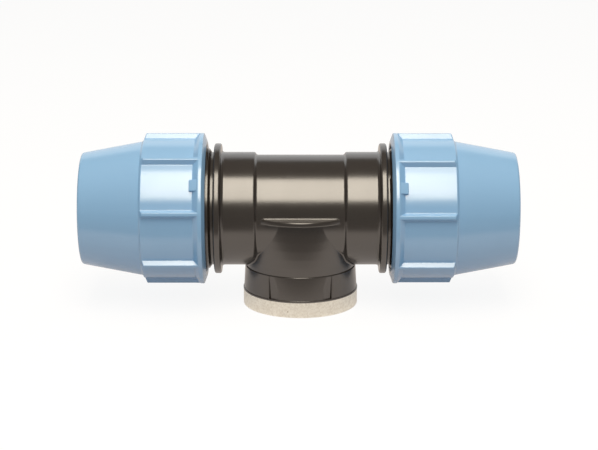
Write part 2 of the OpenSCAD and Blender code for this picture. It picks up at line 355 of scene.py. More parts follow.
class Axis(Enum):
    """Axis that an outline is drawn beside and turned about."""

    RUN = "run"
    BRANCH = "branch"

    @property
    def centre(self) -> Vector:
        """A point on the axis."""
        return Vector((0, 0, mm(RUN_HEIGHT))) if self is Axis.RUN else Vector((0, 0, 0))

    @property
    def direction(self) -> Vector:
        """Direction of the axis."""
        return Vector((1, 0, 0)) if self is Axis.RUN else Vector((0, 0, 1))

    @property
    def outward(self) -> Vector:
        """Direction from the axis in which outlines are drawn."""
        return Vector((0, 0, 1)) if self is Axis.RUN else Vector((1, 0, 0))

    def point(self, along: float, radius: float) -> Vector:
        """Gives the place at millimetres along the axis and beside it."""
        return self.centre + self.direction * mm(along) + self.outward * mm(radius)

    def turned(self, degrees: float) -> Matrix:
        """Gives the turn about this axis by an angle, by the right-hand rule."""
        spin = Matrix.Rotation(math.radians(degrees), 4, self.direction)
        return Matrix.Translation(self.centre) @ spin @ Matrix.Translation(-self.centre)


def arc(along: float, across: float, radius: float, angles: range) -> list[Span]:
    """Gives the points of an arc about a centre, at angles in degrees from the axis."""
    turns = [math.radians(angle) for angle in angles]
    return [(along + radius * math.cos(t), across + radius * math.sin(t)) for t in turns]


def eased(share: float) -> float:
    """Keeps a share between 0 and 1 and eases it at both ends."""
    share = max(0.0, min(1.0, share))
    return share * share * (3 - 2 * share)


class Side(Enum):
    """End of the run, with its direction along X."""

    LEFT = -1
    RIGHT = 1

    @property
    def word(self) -> str:
        """The side's word in names."""
        return self.name.lower()

    def choose(self, values: Span) -> float:
        """Chooses from a left and a right value."""
        return values[0] if self is Side.LEFT else values[1]


def activate(obj: Object) -> None:
    """Makes one object the only selected and the active one.

    Args:
        obj: The object.
    """
    bpy.ops.object.select_all(action="DESELECT")
    obj.select_set(True)
    bpy.context.view_layer.objects.active = obj


@contextmanager
def editing(obj: Object, mode: str = "VERT") -> Iterator[bmesh.types.BMesh]:
    """Opens an object in edit mode with nothing selected.

    Args:
        obj: The object to edit.
        mode: VERT, EDGE or FACE.

    Yields:
        The mesh under edit.
    """
    activate(obj)
    bpy.ops.object.mode_set(mode="EDIT")
    bpy.ops.mesh.select_mode(type=mode)
    bpy.ops.mesh.select_all(action="DESELECT")
    try:
        yield bmesh.from_edit_mesh(obj.data)
    finally:
        bpy.ops.object.mode_set(mode="OBJECT")


def pick(obj: Object, kind: str, test: Callable[[Any], bool]) -> None:
    """Selects the vertices, edges or faces that pass a test, and nothing else.

    Args:
        obj: The object in edit mode.
        kind: verts, edges or faces.
        test: Says whether an element is picked.
    """
    bpy.ops.mesh.select_all(action="DESELECT")
    mesh = bmesh.from_edit_mesh(obj.data)
    for element in getattr(mesh, kind):
        if test(element):
            element.select_set(True)
    mesh.select_flush_mode()
    bmesh.update_edit_mesh(obj.data)


def plane(name: str, size: float, place: Sequence[float]) -> Object:
    """Lays a square plane, with its place applied to its mesh.

    Args:
        name: Name of the new object.
        size: Its side in metres.
        place: Its middle.

    Returns:
        The plane.
    """
    bpy.ops.object.select_all(action="DESELECT")
    bpy.ops.mesh.primitive_plane_add(size=size, location=place)
    obj = bpy.context.object
    obj.name = obj.data.name = name
    bpy.ops.object.transform_apply(location=True)
    return obj


def draw(name: str, points: Sequence[Vector]) -> Object:
    """Draws a closed outline by extruding one vertex from point to point.

    Args:
        name: Name of the new object.
        points: The outline's corners in order.

    Returns:
        The object, with its outline as one closed chain of edges.
    """
    obj = plane(name, mm(1.0), points[0])
    with editing(obj):
        bpy.ops.mesh.select_all(action="SELECT")
        bpy.ops.mesh.merge(type="CENTER")
        for here, there in zip(points, points[1:]):
            bpy.ops.mesh.extrude_vertices_move(TRANSFORM_OT_translate={"value": there - here})
        ends = [v for v in bmesh.from_edit_mesh(obj.data).verts if len(v.link_edges) == 1]
        pick(obj, "verts", lambda v: v in ends)
        bpy.ops.mesh.edge_face_add()
    return obj


def loft(name: str, sections: Sequence[Sequence[Vector]]) -> Object:
    """Draws a section, fills it and extrudes it from one section to the next.

    Args:
        name: Name of the new object.
        sections: The sections, each with the same number of corners in the same order.

    Returns:
        The closed shape.
    """
    obj = draw(name, sections[0])
    with editing(obj):
        bpy.ops.mesh.select_all(action="SELECT")
        bpy.ops.mesh.edge_face_add()
        for here, there in zip(sections, sections[1:]):
            bpy.ops.mesh.extrude_region()
            mesh = bmesh.from_edit_mesh(obj.data)
            for vertex in [v for v in mesh.verts if v.select]:
                reach = [(corner - vertex.co).length for corner in here]
                vertex.co = there[reach.index(min(reach))]
            bmesh.update_edit_mesh(obj.data)
    close_up(obj)
    return obj


def spin(obj: Object, axis: Axis, degrees: float, steps: int, copies: bool = False) -> None:
    """Spins all of an object about an axis, by the right-hand rule.

    Args:
        obj: The object.
        axis: Axis to spin about.
        degrees: Angle of the whole spin.
        steps: Number of steps in it.
        copies: Leaves copies of the shape instead of a surface.
    """
    with editing(obj):
        bpy.ops.mesh.select_all(action="SELECT")
        bpy.ops.mesh.spin(
            steps=steps,
            dupli=copies,
            angle=-math.radians(degrees),
            center=axis.centre,
            axis=axis.direction,
        )


def close_up(obj: Object) -> None:
    """Merges doubled vertices, fills open loops and turns the faces outwards.

    Args:
        obj: The object.
    """
    with editing(obj):
        bpy.ops.mesh.select_all(action="SELECT")
        bpy.ops.mesh.remove_doubles(threshold=mm(MERGE))
        bpy.ops.mesh.fill_holes(sides=0)
        bpy.ops.mesh.select_all(action="SELECT")
        bpy.ops.mesh.normals_make_consistent(inside=False)


def apply_modifier(obj: Object, kind: str, **settings: Any) -> None:
    """Adds a modifier with its settings and applies it.

    Args:
        obj: The object.
        kind: Blender's name of the modifier type.
        **settings: Properties of the modifier.
    """
    activate(obj)
    modifier = obj.modifiers.new(kind.lower(), kind)
    for name, value in settings.items():
        setattr(modifier, name, value)
    bpy.ops.object.modifier_apply(modifier=modifier.name)


def discard(obj: Object) -> None:
    """Deletes an object with its mesh.

    Args:
        obj: The object.
    """
    mesh = obj.data
    bpy.data.objects.remove(obj)
    bpy.data.meshes.remove(mesh)


def join_solid(obj: Object, other: Object) -> None:
    """Joins another closed shape into an object, and deletes the other one."""
    apply_modifier(obj, "BOOLEAN", operation="UNION", solver="EXACT", object=other)
    discard(other)


def bevel(obj: Object, width_mm: float, degrees: float) -> None:
    """Rounds the edges that are sharper than an angle.

    Args:
        obj: The object.
        width_mm: Width of the rounding.
        degrees: The angle.
    """
    apply_modifier(
        obj,
        "BEVEL",
        width=mm(width_mm),
        segments=2,
        limit_method="ANGLE",
        angle_limit=math.radians(degrees),
    )


def place_by(obj: Object, matrix: Matrix) -> None:
    """Moves an object by a matrix and applies the move to its mesh.

    Args:
        obj: The object.
        matrix: The move, in the shared frame.
    """
    obj.matrix_world = matrix @ obj.matrix_world
    activate(obj)
    bpy.ops.object.transform_apply(location=True, rotation=True, scale=True)


def smooth(obj: Object) -> None:
    """Shades an object smooth, with sharp edges kept sharp and flat faces kept flat.

    Args:
        obj: The object.
    """
    activate(obj)
    bpy.ops.object.shade_smooth_by_angle(angle=math.radians(SHARP_ANGLE))
    apply_modifier(obj, "WEIGHTED_NORMAL", keep_sharp=True, weight=50)


def duplicate(obj: Object, name: str) -> Object:
    """Copies an object with a mesh of its own.

    Args:
        obj: The object.
        name: Name of the copy.

    Returns:
        The copy.
    """
    activate(obj)
    bpy.ops.object.duplicate(linked=False)
    copy = bpy.context.object
    copy.name = copy.data.name = name
    return copy


def dress(obj: Object, material: Material) -> None:
    """Gives an object one material in all its slots.

    Args:
        obj: The object.
        material: The finish.
    """
    if not obj.material_slots:
        obj.data.materials.append(material)
    for place in obj.material_slots:
        place.material = material


def report(obj: Object) -> None:
    """Logs a finished piece with its number of faces."""
    LOG.info("%s: %d faces", obj.name, len(obj.data.polygons))


def fit_to_body(obj: Object, material: Material) -> None:
    """Finishes a detail that is part of the body's moulding.

    Args:
        obj: The detail.
        material: The body's finish.
    """
    smooth(obj)
    dress(obj, material)
    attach(obj, "tee_body")
    report(obj)


# Screw threads


@dataclass
class Ridge:
    """A helical ridge of a screw thread, right-handed.

    Attributes:
        axis: Axis of the thread.
        pitch: Distance from turn to turn.
        base_r: Radius of the hidden base, inside the wall that carries the ridge.
        root_r: Radius of that wall.
        crest_r: Radius of the ridge's crest.
        base_w: Width of the ridge at the root.
        crest_w: Width of the ridge at the crest.
        along: Place of the ridge's middle at the angle where it starts.
        angle: Angle in degrees from the drawing direction where it starts.
        turns: Number of turns.
        fade: Turns over which each end runs out into the wall.
        steps: Steps in a turn.
        rounding: Share of its height by which the crest's corners are lowered.
        flat: Share of the crest's width, on each side of its middle, that stays flat.
    """

    axis: Axis
    pitch: float
    base_r: float
    root_r: float
    crest_r: float
    base_w: float
    crest_w: float
    along: float
    angle: float
    turns: float
    fade: float = 0.12
    steps: int = 96
    rounding: float = 0.12
    flat: float = 0.3

    def outline(self) -> list[Vector]:
        """Draws the ridge's section, with a rounded crest.

        Returns:
            The section's corners.
        """
        slope = (self.base_w - self.crest_w) / 2 / (self.crest_r - self.root_r)
        base = self.base_w / 2 - slope * (self.base_r - self.root_r)
        shy = self.rounding * (self.crest_r - self.root_r)
        near_crest = self.crest_r - shy
        edge = self.crest_w / 2 + slope * shy
        flat = self.crest_w * self.flat
        points = [
            (-base, self.base_r),
            (-edge, near_crest),
            (-flat, self.crest_r),
            (flat, self.crest_r),
            (edge, near_crest),
            (base, self.base_r),
        ]
        turn = self.axis.turned(self.angle)
        return [turn @ self.axis.point(self.along + a, r) for a, r in points]

    def model(self, name: str) -> Object:
        """Winds the section along its helix and runs its ends out.

        Args:
            name: Name of the piece.

        Returns:
            The ridge as a closed shape.
        """
        obj = draw(name, self.outline())
        place_by(obj, Matrix.Translation(-self.axis.centre))
        apply_modifier(
            obj,
            "SCREW",
            axis="X" if self.axis is Axis.RUN else "Z",
            angle=math.tau * self.turns,
            screw_offset=mm(self.pitch * self.turns),
            steps=round(self.steps * self.turns),
            render_steps=round(self.steps * self.turns),
            use_merge_vertices=False,
        )
        place_by(obj, Matrix.Translation(self.axis.centre))
        self.run_out(obj)
        close_up(obj)
        return obj

    def turns_to(self, place: Vector) -> float:
        """Counts the turns from the ridge's start to a place on it.

        Args:
            place: A place on the ridge.

        Returns:
            The number of turns.
        """
        way = place - self.axis.centre
        along = in_mm(way.dot(self.axis.direction))
        side = self.axis.direction.cross(self.axis.outward)
        angle = math.atan2(way.dot(side), way.dot(self.axis.outward)) - math.radians(self.angle)
        part = angle / math.tau
        return part + round((along - self.along) / self.pitch - part)

    def run_out(self, obj: Object) -> None:
        """Lowers both ends of the ridge into the wall that carries it.

        Args:
            obj: The wound ridge.
        """
        with editing(obj) as mesh:
            for vertex in mesh.verts:
                done = self.turns_to(vertex.co)
                share = eased(min(done, self.turns - done) / self.fade)
                way = vertex.co - self.axis.centre
                way -= self.axis.direction * way.dot(self.axis.direction)
                radius = in_mm(way.length)
                beyond = (radius - self.root_r) * math.copysign(1.0, self.crest_r - self.root_r)
                if beyond > 0 and share < 1:
                    aim = self.root_r + (radius - self.root_r) * share
                    vertex.co += way.normalized() * mm(aim - radius)
            bmesh.update_edit_mesh(obj.data)


@dataclass
class RunThreads:
    """The thread of the run: ridges outside the body's sleeves and inside the nuts.

    Attributes:
        pitch: Distance that a nut travels in one turn.
        sleeve_r: Radius of the sleeve at the root of its thread.
        sleeve_base_r: Radius of the male ridge's base, hidden in the sleeve.
        bore_r: Radius of the nut's bore at the root of its own thread.
        bore_base_r: Radius of the female ridge's base, hidden in the nut.
        height: Height of both ridges.
        base_w: Width of a ridge at its root.
        crest_w: Width of a ridge at its crest.
        at_top: Places of the male ridges' middles at the top, left and right.
        male_turns: Turns of the male ridges, left and right.
        male_ends: Angles of their ends beside the branch, from the top towards the front.
        male_fade: Turns over which their ends run out.
        female_turns: Turns of the female ridges.
        inset: Distance from a nut's inner end to its ridge.
    """

    pitch: float = 6.0
    sleeve_r: float = 41.75
    sleeve_base_r: float = 39.0
    bore_r: float = 45.05
    bore_base_r: float = 46.2
    height: float = 3.0
    base_w: float = 3.6
    crest_w: float = 1.5
    at_top: Span = (-65.4, 62.6)
    male_turns: Span = (5.1, 5.4)
    male_ends: Span = (30.0, 45.0)
    male_fade: float = 0.06
    female_turns: float = 5.2
    inset: float = 2.6

    def middle(self, side: Side, degrees: float) -> float:
        """Gives the place of the male ridge's middle, at an angle from the top to the front."""
        return side.choose(self.at_top) + self.pitch * degrees / 360.0

    def ridge(self, root_r: float, height: float, **settings: float) -> Ridge:
        """Gives a ridge with this thread's pitch and widths.

        Args:
            root_r: Radius of the wall that carries it.
            height: Height of the ridge, negative inside a bore.
            **settings: The ridge's other fields.

        Returns:
            The ridge, not yet modelled.
        """
        return Ridge(
            axis=Axis.RUN,
            pitch=self.pitch,
            root_r=root_r,
            crest_r=root_r + height,
            base_w=self.base_w,
            crest_w=self.crest_w,
            **settings,
        )

    def male(self, side: Side, material: Material) -> None:
        """Models the ridge round one sleeve of the body.

        Args:
            side: End of the run.
            material: The body's finish.
        """
        turns = side.choose(self.male_turns)
        start = side.choose(self.male_ends)
        if side is Side.LEFT:
            start -= 360.0 * turns
        ridge = self.ridge(
            self.sleeve_r,
            self.height,
            base_r=self.sleeve_base_r,
            along=self.middle(side, start),
            angle=start,
            turns=turns,
            fade=self.male_fade,
        )
        fit_to_body(ridge.model(f"male_thread_{side.word}"), material)

    def female(self, side: Side, start: float) -> Object:
        """Models the ridge inside one nut, half a pitch away from the male one.

        Args:
            side: End of the run.
            start: Distance from the branch's axis to the nut's inner end.

        Returns:
            The ridge, to be joined with its nut.
        """
        near = start + self.inset
        if side is Side.LEFT:
            near = -near - self.pitch * self.female_turns
        ridge = self.ridge(
            self.bore_r,
            -self.height,
            base_r=self.bore_base_r,
            along=near,
            angle=(near - self.pitch / 2 - self.middle(side, 0.0)) / self.pitch * 360.0,
            turns=self.female_turns,
        )
        return ridge.model(f"female_thread_{side.word}")


@dataclass
class BranchThread:
    """Pipe thread inside the branch: eleven rounded turns to the inch.

    Attributes:
        major_r: Radius of the bore, at the root of the thread.
        minor_r: Radius at the thread's crest.
        hidden: Depth of the ridge's base in the wall.
        pitch: Distance from turn to turn.
        base_w: Width of a turn at its root.
        crest_w: Width of a turn at its crest.
        start: Height of the first turn's middle above the mouth.
        start_angle: Angle from the right at which the thread starts.
        turns: Number of turns.
        fade: Turns over which its ends run out.
    """

    major_r: float = 29.81
    minor_r: float = 28.33
    hidden: float = 0.8
    pitch: float = 2.309
    base_w: float = 1.95
    crest_w: float = 0.5
    start: float = 1.5
    start_angle: float = 30.0
    turns: float = 9.2
    fade: float = 0.3

    def build(self, material: Material) -> None:
        """Models the thread and puts it in the branch.

        Args:
            material: The body's finish.
        """
        ridge = Ridge(
            axis=Axis.BRANCH,
            pitch=self.pitch,
            base_r=self.major_r + self.hidden,
            root_r=self.major_r,
            crest_r=self.minor_r,
            base_w=self.base_w,
            crest_w=self.crest_w,
            along=self.start,
            angle=self.start_angle,
            turns=self.turns,
            fade=self.fade,
        )
        fit_to_body(ridge.model("branch_thread"), material)


# Details of the body


@dataclass
class BranchCrease:
    """Moulded fillets in the crease where the branch grows out of the run.

    Attributes:
        ball: Radius of the fillets.
        tube_r: Radius of the middle tube.
        hub_r: Radius of the hubs.
        hub_step: Places along the run where the step between them starts and ends.
        skirt_r: Radius of the branch's skirt above its ledge.
        socket_r: Radius of the socket below that ledge.
        flare: How much the skirt widens upwards.
        skirt_z: Heights where the skirt starts and ends.
        start: Angle from the front at which the fillets come out from under the rib.
        stations: Number of sections along a fillet.
        sink: How far its face lies under the ball, so that its edges don't stand out.
        deep: Depth of its hidden sides.
    """

    ball: float = 1.3
    tube_r: float = 37.5
    hub_r: float = 39.4
    hub_step: Span = (29.5, 32.5)
    skirt_r: float = 38.3
    socket_r: float = 38.75
    flare: float = 1.9
    skirt_z: Span = (28.45, 65.9)
    start: float = 20.0
    stations: int = 57
    sink: float = 0.05
    deep: float = 1.2

    def run_r(self, x: float) -> float:
        """Gives the radius of the run.

        Args:
            x: Distance from the branch's axis.

        Returns:
            The radius there.
        """
        low, high = self.hub_step
        share = eased((abs(x) - low) / (high - low))
        return self.tube_r + (self.hub_r - self.tube_r) * share

    def branch_r(self, z: float) -> float:
        """Gives the radius of the branch.

        Args:
            z: Height above the mouth.

        Returns:
            The radius there.
        """
        low, high = self.skirt_z
        if z < low:
            return self.socket_r
        share = min(1.0, (z - low) / (high - low))
        return self.skirt_r + self.flare * (1 - (1 - share) ** 2)

    def section(self, degrees: float) -> list[Vector]:
        """Draws the fillet's section where the ball lies at an angle from the front.

        Args:
            degrees: The angle.

        Returns:
            The round face's points and three points hidden in the wall.
        """
        centre_z = RUN_HEIGHT
        angle = math.radians(degrees)
        outward = Vector((math.sin(angle), -math.cos(angle), 0.0))
        z = 50.0
        # The run's radius changes with the ball's place, so the height is found step by step.
        for _ in range(60):
            place = outward * (self.branch_r(z) + self.ball)
            reach = self.run_r(place.x) + self.ball
            z += 0.5 * (centre_z - math.sqrt(max(reach**2 - place.y**2, 0.0)) - z)
        ball = Vector((place.x, place.y, z))
        above = Vector((ball.x, 0.0, centre_z))
        down = (ball - above).normalized()
        on_branch = ball - outward * self.ball
        on_run = ball - down * self.ball
        bisector = ((on_branch - ball) + (on_run - ball)).normalized()
        chords = [on_branch.lerp(on_run, share) for share in (0.0, 0.2, 0.4, 0.6, 0.8, 1.0)]
        face = [ball + (chord - ball).normalized() * self.ball for chord in chords]
        face = [point + bisector * self.sink for point in face]
        corner = ball + bisector * (self.ball + 2 * self.deep)
        hidden = [on_run - down * self.deep, corner, on_branch - outward * self.deep]
        return [point * mm(1.0) for point in face + hidden]

    def build(self, material: Material) -> None:
        """Models one fillet, copies it to the other side and dresses both.

        Args:
            material: The body's finish.
        """
        step = (180.0 - 2 * self.start) / (self.stations - 1)
        sections = [self.section(self.start + step * i) for i in range(self.stations)]
        right = loft("branch_crease_right", sections)
        left = duplicate(right, "branch_crease_left")
        place_by(left, Matrix.Scale(-1, 4, (1, 0, 0)))
        close_up(left)
        for obj in (right, left):
            fit_to_body(obj, material)


@dataclass
class BodyRings:
    """Turned details of the body: the ledge's lip, the bead's edge and the flanges' wide fillets.

    Attributes:
        lip_r: Radius of the lip's outside.
        lip_z: Heights of the lip's underside and top.
        lip_edge: Radius of the lip's rounded upper edge.
        bead_r: Radius of the square edge of the bead over the band.
        bead_z: Heights of that edge's underside and top.
        chamfers: Chamfers at the lip's underside and at the top of the bead's edge.
        hidden_r: Radii of the hidden insides of the lip and of the bead's edge.
        flange_x: Distance from the branch's axis to a flange's near face.
        hub_r: Radius of the hubs.
        fillet: Radius of the fillet between a hub and its flange.
        sunk: Depth of the fillets' hidden sides.
        steps: Steps in a whole turn.
    """

    lip_r: float = 38.9
    lip_z: Span = (27.85, 28.52)
    lip_edge: float = 0.47
    bead_r: float = 40.17
    bead_z: Span = (10.82, 11.82)
    chamfers: Span = (0.06, 0.04)
    hidden_r: Span = (37.8, 38.9)
    flange_x: float = 54.9
    hub_r: float = 39.4
    fillet: float = 2.3
    sunk: float = 0.5
    steps: int = 144

    def lip_outline(self) -> list[Span]:
        """Draws the lip's section.

        Returns:
            Height and radius of each corner.
        """
        low, high = self.lip_z
        inside, _ = self.hidden_r
        chamfer, _ = self.chamfers
        edge = arc(high - self.lip_edge, self.lip_r - self.lip_edge, self.lip_edge, range(90, 1, -22))
        under = [(low, self.lip_r - chamfer), (low + chamfer, self.lip_r)]
        return [(low, inside), *under, *edge, (high, inside)]

    def bead_outline(self) -> list[Span]:
        """Draws the section of the bead's edge.

        Returns:
            Height and radius of each corner.
        """
        low, high = self.bead_z
        _, inside = self.hidden_r
        _, chamfer = self.chamfers
        corner = [(high - chamfer, self.bead_r), (high, self.bead_r - chamfer)]
        return [(low, inside), (low, self.bead_r), *corner, (high, inside)]

    def fillet_outline(self) -> list[Span]:
        """Draws a fillet's section.

        Returns:
            Distance along the run and radius of each corner.
        """
        along, radius = self.flange_x - self.fillet, self.hub_r + self.fillet
        low, inside = self.hub_r - self.sunk, self.flange_x + self.sunk
        # The last three corners lie hidden in the flange and the hub.
        face = arc(along, radius, self.fillet, range(-84, 0, 13))
        return [*face, (inside, radius - 0.2), (inside, low), (along - 0.3, low)]

    def turn(self, name: str, axis: Axis, points: Outline, material: Material) -> None:
        """Spins a section into a ring and dresses it.

        Args:
            name: Name of the piece.
            axis: Axis that the section is drawn beside.
            points: Distance along the axis and radius of each corner.
            material: The body's finish.
        """
        obj = draw(name, [axis.point(a, r) for a, r in points])
        spin(obj, axis, 360.0, self.steps)
        close_up(obj)
        fit_to_body(obj, material)

    def build(self, material: Material) -> None:
        """Models the lip, the bead's edge and both fillets.

        Args:
            material: The body's finish.
        """
        self.turn("ledge_lip", Axis.BRANCH, self.lip_outline(), material)
        self.turn("bead_edge", Axis.BRANCH, self.bead_outline(), material)
        for side in Side:
            outline = [(side.value * a, r) for a, r in self.fillet_outline()]
            self.turn(f"flange_fillet_{side.word}", Axis.RUN, outline, material)


# Screw nuts


@dataclass
class ScrewNuts:
    """The two nuts, modelled once as a blank and copied to both ends of the run.

    Attributes:
        ribs: Number of ribs round a nut.
        columns: Steps of the surface from rib to rib.
        collar_r: Radius of the collar's land.
        panel_r: Radius of the panels between the ribs.
        cone_r: Radius at the wide end of the cone.
        end_r: Radius at the slim end of the cone.
        rib_r: Radius of the ribs' tops.
        rib_top: Width of a rib at its top.
        rib_foot: Width of a rib at its foot.
        land: Places along the nut where the collar's land starts and ends.
        bevel_end: Place where the collar's bevel reaches the panels.
        rib_crest: Place where the steep far end of a rib starts.
        grip_end: Place where the panels and the ribs' far ends meet.
        cone_start: Place where the cone starts.
        length: Length of the nut.
        wall: Wall of the cone, on the radius.
        skin: Distance from a face within which a point counts as lying on it.
        bore_r: Radius of the threaded bore.
        mouth_r: Radius of the mouth.
        cavity: Places along the nut where the inner cone starts and ends.
        entry_r: Radius where the bevel at the inner end starts.
        entry_edge: Chamfer of the bore at the inner end.
        mouth_edge: Chamfer of the mouth.
        rounding: Radius of the cone's slim end.
        edge: Radius of the moulded edges.
        tab_outline: Place along the nut and radius of the tab's corners.
        tab_half: Half of the tab's width, in degrees.
        tab_edge: Radius of the tab's edges.
        tab_steps: Steps of the surface over the tab's width.
        first_rib: Angle of a rib above the front, for each side.
    """

    ribs: int = 8
    columns: int = 12
    collar_r: float = 52.55
    panel_r: float = 48.75
    cone_r: float = 46.75
    end_r: float = 38.8
    rib_r: float = 52.45
    rib_top: float = 2.3
    rib_foot: float = 5.0
    land: Span = (2.0, 4.6)
    bevel_end: float = 8.1
    rib_crest: float = 42.3
    grip_end: float = 43.6
    cone_start: float = 44.9
    length: float = 87.3
    wall: float = 4.2
    skin: float = 0.5
    bore_r: float = 45.05
    mouth_r: float = 32.2
    cavity: Span = (38.9, 83.3)
    entry_r: float = 46.95
    entry_edge: float = 0.6
    mouth_edge: float = 0.8
    rounding: float = 1.8
    edge: float = 0.45
    tab_outline: Outline = ((4.0, 47.6), (4.0, 52.2), (10.4, 50.8), (10.4, 47.6))
    tab_half: float = 4.5
    tab_edge: float = 0.35
    tab_steps: int = 6
    first_rib: tuple[tuple[Side, float], ...] = ((Side.LEFT, 9.7), (Side.RIGHT, 7.3))

    @property
    def slope(self) -> float:
        """Slope of the cone, inside and outside."""
        return (self.cone_r - self.end_r) / (self.length - self.cone_start)

    def cavity_r(self, along: float) -> float:
        """Gives the radius of the inner cone at a place along the nut."""
        return self.cone_r - self.wall - self.slope * (along - self.cone_start)

    def outline(self) -> list[Vector]:
        """Draws the nut's section, from the inner end round to the mouth and back.

        Returns:
            The section's corners.
        """
        middle = self.length - self.rounding
        middle_r = self.end_r + self.slope * self.rounding - self.rounding
        near, far = self.cavity
        near_r = self.cavity_r(near)
        corner = arc(middle, middle_r, self.rounding, range(80, -1, -16))
        points = [
            (0.0, self.entry_r),
            (self.land[0], self.collar_r),
            (self.land[1], self.collar_r),
            (self.bevel_end, self.panel_r),
            (self.grip_end, self.panel_r),
            (self.cone_start, self.cone_r),
            *corner,
            (self.length, self.mouth_r + self.mouth_edge),
            (self.length - self.mouth_edge, self.mouth_r),
            (far, self.mouth_r),
            (far, self.cavity_r(far)),
            (near, near_r),
            (near - (self.bore_r - near_r), self.bore_r),
            (self.entry_edge, self.bore_r),
            (0.0, self.bore_r + self.entry_edge),
        ]
        return [Axis.RUN.point(a, r) for a, r in points]

    def raise_rib(self, obj: Object) -> None:
        """Extrudes the middle columns of one sector into a rib, narrower at its top.

        Args:
            obj: One sector of the nut.
        """
        middle = 180.0 / self.ribs
        column = 360.0 / self.ribs / self.columns
        level = Axis.RUN.turned(-middle)

        def local(place: Vector) -> tuple[float, float, float]:
            """Gives a place as along, up and across, as seen from the rib's middle."""
            turned = (level @ place) - Axis.RUN.centre
            return in_mm(turned.x), in_mm(turned.z), in_mm(turned.y)

        def angle(place: Vector) -> float:
            """Gives a place's angle from the rib's middle in degrees."""
            _, up, across = local(place)
            return math.degrees(math.atan2(across, up))

        def beside(along: float, radius: float, across: float) -> Vector:
            """Gives the place at a radius and beside the rib's middle.

            Args:
                along: Distance along the nut.
                radius: Distance from the axis.
                across: Distance from the rib's middle.

            Returns:
                The place.
            """
            up = math.sqrt(radius**2 - across**2)
            flat = Axis.RUN.centre + Vector((mm(along), mm(across), mm(up)))
            return level.inverted() @ flat

        with editing(obj, "FACE") as mesh:
            shoulder = self.rib_top / 2
            for vertex in mesh.verts:
                along, up, across = local(vertex.co)
                radius = math.hypot(up, across)
                if not 0.5 * column < abs(angle(vertex.co)) < 1.5 * column:
                    continue  # only the lines beside the rib's middle line move
                inside = radius < min(self.bore_r, self.cavity_r(along)) + self.skin
                if abs(along - self.land[1]) < NEAR and not inside:
                    vertex.co = beside(along, self.collar_r, math.copysign(shoulder, across))
                elif along > self.land[1] and not inside:
                    foot = math.copysign(self.rib_foot / 2, across) * radius / self.panel_r
                    vertex.co = beside(along, radius, foot)
            bmesh.update_edit_mesh(obj.data)

            def under_rib(face: bmesh.types.BMFace) -> bool:
                """Says whether a face lies under the rib.

                Args:
                    face: A face of the sector.

                Returns:
                    Whether the rib grows out of it.
                """
                centre = face.calc_center_median()
                along, up, across = local(centre)
                outside = math.hypot(up, across) > self.panel_r - self.skin
                between = self.land[1] < along < self.grip_end
                return outside and between and abs(angle(centre)) < column

            pick(obj, "faces", under_rib)
            bpy.ops.mesh.extrude_region()
            mesh = bmesh.from_edit_mesh(obj.data)
            for vertex in [v for v in mesh.verts if v.select]:
                along, up, across = local(vertex.co)
                sideways = 0.0 if abs(across) < self.skin else math.copysign(shoulder, across)
                height = self.rib_r
                if abs(along - self.land[1]) < NEAR:
                    height = self.collar_r
                elif abs(along - self.grip_end) < NEAR:
                    along = self.rib_crest
                vertex.co = beside(along, height, sideways)
            bmesh.update_edit_mesh(obj.data)

    def tab(self, degrees: float) -> Object:
        """Models the plain raised tab beside the collar, with its slanted face.

        Args:
            degrees: Angle of its middle from the top.

        Returns:
            The tab, to be joined with the blank.
        """
        turn = Axis.RUN.turned(degrees - self.tab_half)
        obj = draw("nut_tab", [turn @ Axis.RUN.point(a, r) for a, r in self.tab_outline])
        spin(obj, Axis.RUN, 2 * self.tab_half, self.tab_steps)
        close_up(obj)
        bevel(obj, self.tab_edge, degrees=30.0)
        return obj

    def blank(self) -> Object:
        """Models a nut without its thread, with its inner end at X = 0.

        Returns:
            The blank.
        """
        sector = 360.0 / self.ribs
        obj = draw("nut_blank", self.outline())
        spin(obj, Axis.RUN, sector, self.columns)
        self.raise_rib(obj)
        spin(obj, Axis.RUN, 360.0 - sector, self.ribs - 1, copies=True)
        close_up(obj)
        bevel(obj, self.edge, degrees=20.0)
        return obj

    def build(self, threads: RunThreads, material: Material) -> None:
        """Copies the blank to both ends, threads the copies and puts them in place.

        Args:
            threads: The thread of the run.
            material: The nuts' finish.
        """
        blank = self.blank()
        middle = 180.0 / self.ribs
        for side, above_front in self.first_rib:
            node = f"nut_{side.word}"
            low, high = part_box(node)
            start = in_mm(min(abs(low.x), abs(high.x)))
            obj = duplicate(blank, f"screw_nut_{side.word}")
            rib_at = 90.0 - above_front - middle
            place_by(obj, Axis.RUN.turned(rib_at))
            join_solid(obj, self.tab(rib_at))
            if side is Side.LEFT:
                place_by(obj, Matrix.Scale(-1, 4, (1, 0, 0)))
                close_up(obj)
            place_by(obj, Matrix.Translation((mm(side.value * start), 0, 0)))
            join_solid(obj, threads.female(side, start))
            smooth(obj)
            dress(obj, material)
            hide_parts(node)
            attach(obj, f"{side.word}_nut")
            report(obj)
        discard(blank)


# Parts that keep their solids


@dataclass
class TeeBody:
    """The body with its metal band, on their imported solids."""

    body: str = "body"
    band: str = "reinforcing_ring"

    def build(self, plastic: Material, steel: Material) -> None:
        """Dresses both solids.

        Args:
            plastic: The body's finish.
            steel: The band's finish.
        """
        for node, material in ((self.body, plastic), (self.band, steel)):
            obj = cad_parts[node]
            dress(obj, material)
            report(obj)


@dataclass
class SealPacks:
    """The seals, bushes and split grip rings inside the ends of the run."""

    seal: str = "seal"
    bush: str = "packing_bush"
    grip: str = "grip_ring"

    def build(self) -> None:
        """Dresses the six solids."""
        finishes = {self.seal: SEAL_RUBBER, self.bush: BUSH_PLASTIC, self.grip: GRIP_PLASTIC}
        for part, finish in finishes.items():
            material = finish.make()
            for side in Side:
                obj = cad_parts[f"{part}_{side.word}"]
                dress(obj, material)
                report(obj)


# Studio


